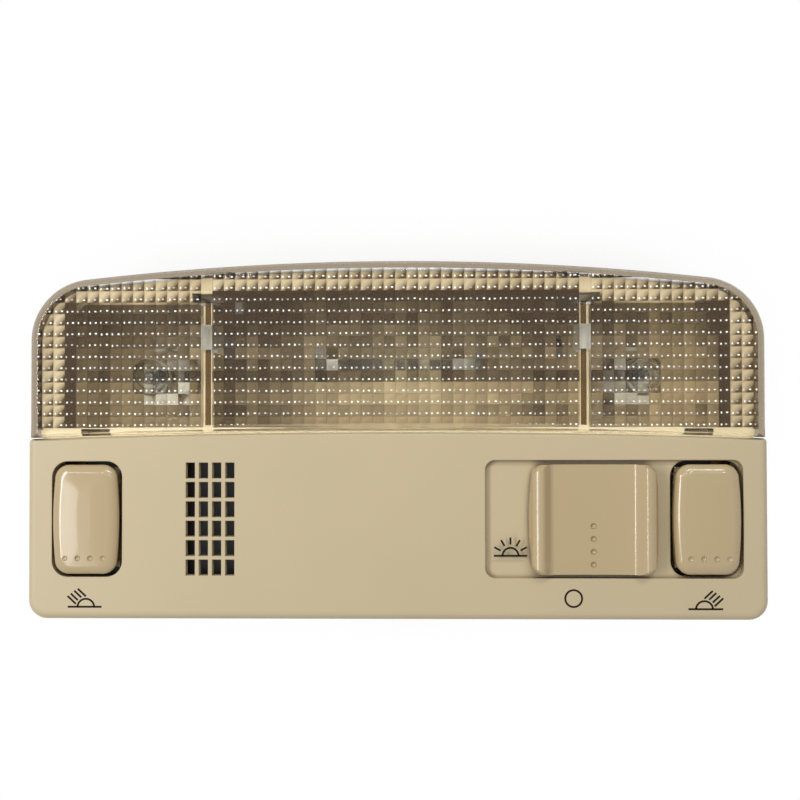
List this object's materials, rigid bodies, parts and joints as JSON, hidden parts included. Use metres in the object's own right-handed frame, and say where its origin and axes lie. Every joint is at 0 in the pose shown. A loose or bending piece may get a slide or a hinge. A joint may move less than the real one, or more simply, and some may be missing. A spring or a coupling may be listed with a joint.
{
  "type": "car dome light",
  "caption": "Roof lamp with a prismatic clear lens over a middle tubular bulb and two reading bulbs, rocking keys, a slide switch and a small grille",
  "frame": {"origin": "under the middle of the outline, on the surface that the back of the connector and the bulb holders rests on", "axes": "+X along the face to the slide switch's side, +Y up the face towards the lens, +Z out of the face into the cabin"},
  "size_m": [0.178, 0.0864, 0.0436],
  "materials": {
    "panel_plastic": "fine grained beige moulding, satin",
    "key_plastic": "polished beige moulding",
    "lens_plastic": "clear polished plastic, prisms inside",
    "black_plastic": "black moulding",
    "white_plastic": "natural white moulding",
    "contact_brass": "stamped strip",
    "spring_steel": "bright spring steel",
    "tinned_cap": "tinned",
    "bulb_glass": "clear bulb glass"
  },
  "bodies": {
    "lamp": {"housing": "panel_plastic", "lens": "lens_plastic", "switch_carrier": "black_plastic", "spring_plug_left": "black_plastic", "spring_plug_right": "black_plastic", "ground_bar": "contact_brass", "supply_bar": "contact_brass", "door_bar": "contact_brass", "lamp_bar_left": "contact_brass", "lamp_bar_right": "contact_brass", "lamp_bar_middle": "contact_brass", "detent_spring": "spring_steel", "key_spring_left": "spring_steel", "key_spring_right": "spring_steel", "festoon_clip_left": "spring_steel", "festoon_clip_right": "spring_steel", "retaining_clip_left": "spring_steel", "retaining_clip_right": "spring_steel", "holder_contacts_left": "spring_steel", "holder_contacts_right": "spring_steel", "carrier_screws": "spring_steel", "bulb_holder_left": "white_plastic", "bulb_holder_right": "white_plastic", "festoon_glass": "bulb_glass", "reading_bulb_left": "bulb_glass", "reading_bulb_right": "bulb_glass", "festoon_cap_left": "tinned_cap", "festoon_cap_right": "tinned_cap", "festoon_filament": "tinned_cap", "reading_filament_left": "tinned_cap", "reading_filament_right": "tinned_cap"},
    "key_left": {"key_left": "key_plastic"},
    "key_right": {"key_right": "key_plastic"},
    "plunger_left": {"plunger_left": "white_plastic", "contact_washer_left": "contact_brass"},
    "plunger_right": {"plunger_right": "white_plastic", "contact_washer_right": "contact_brass"},
    "slider": {"slide_knob": "key_plastic", "slide_carriage": "black_plastic", "slide_contact": "contact_brass"}
  },
  "joints": [
    {"name": "key_left_press", "type": "hinge", "parent": "lamp", "child": "key_left", "pos_m": [-0.0744, -0.0083, 0.0343], "axis": [1, 0, 0], "range_deg": [0, 3.5], "stiffness_Nm_per_rad": 0.3, "springref_deg": -5.73},
    {"name": "key_right_press", "type": "hinge", "parent": "lamp", "child": "key_right", "pos_m": [0.0744, -0.0083, 0.0343], "axis": [1, 0, 0], "range_deg": [0, 3.5], "stiffness_Nm_per_rad": 0.3, "springref_deg": -5.73},
    {"name": "plunger_left_slide", "type": "slide", "parent": "lamp", "child": "plunger_left", "axis": [0, 0, 1], "range_m": [-0.0012, 0], "deforming": ["key_spring_left"]},
    {"name": "plunger_right_slide", "type": "slide", "parent": "lamp", "child": "plunger_right", "axis": [0, 0, 1], "range_m": [-0.0012, 0], "deforming": ["key_spring_right"]},
    {"name": "slide_button", "type": "slide", "parent": "lamp", "child": "slider", "axis": [1, 0, 0], "range_m": [-0.01, 0]}
  ],
  "couplings": [
    {"joint": "plunger_left_slide", "follows": "key_left_press", "m_per_rad": -0.018},
    {"joint": "plunger_right_slide", "follows": "key_right_press", "m_per_rad": -0.018}
  ]
}
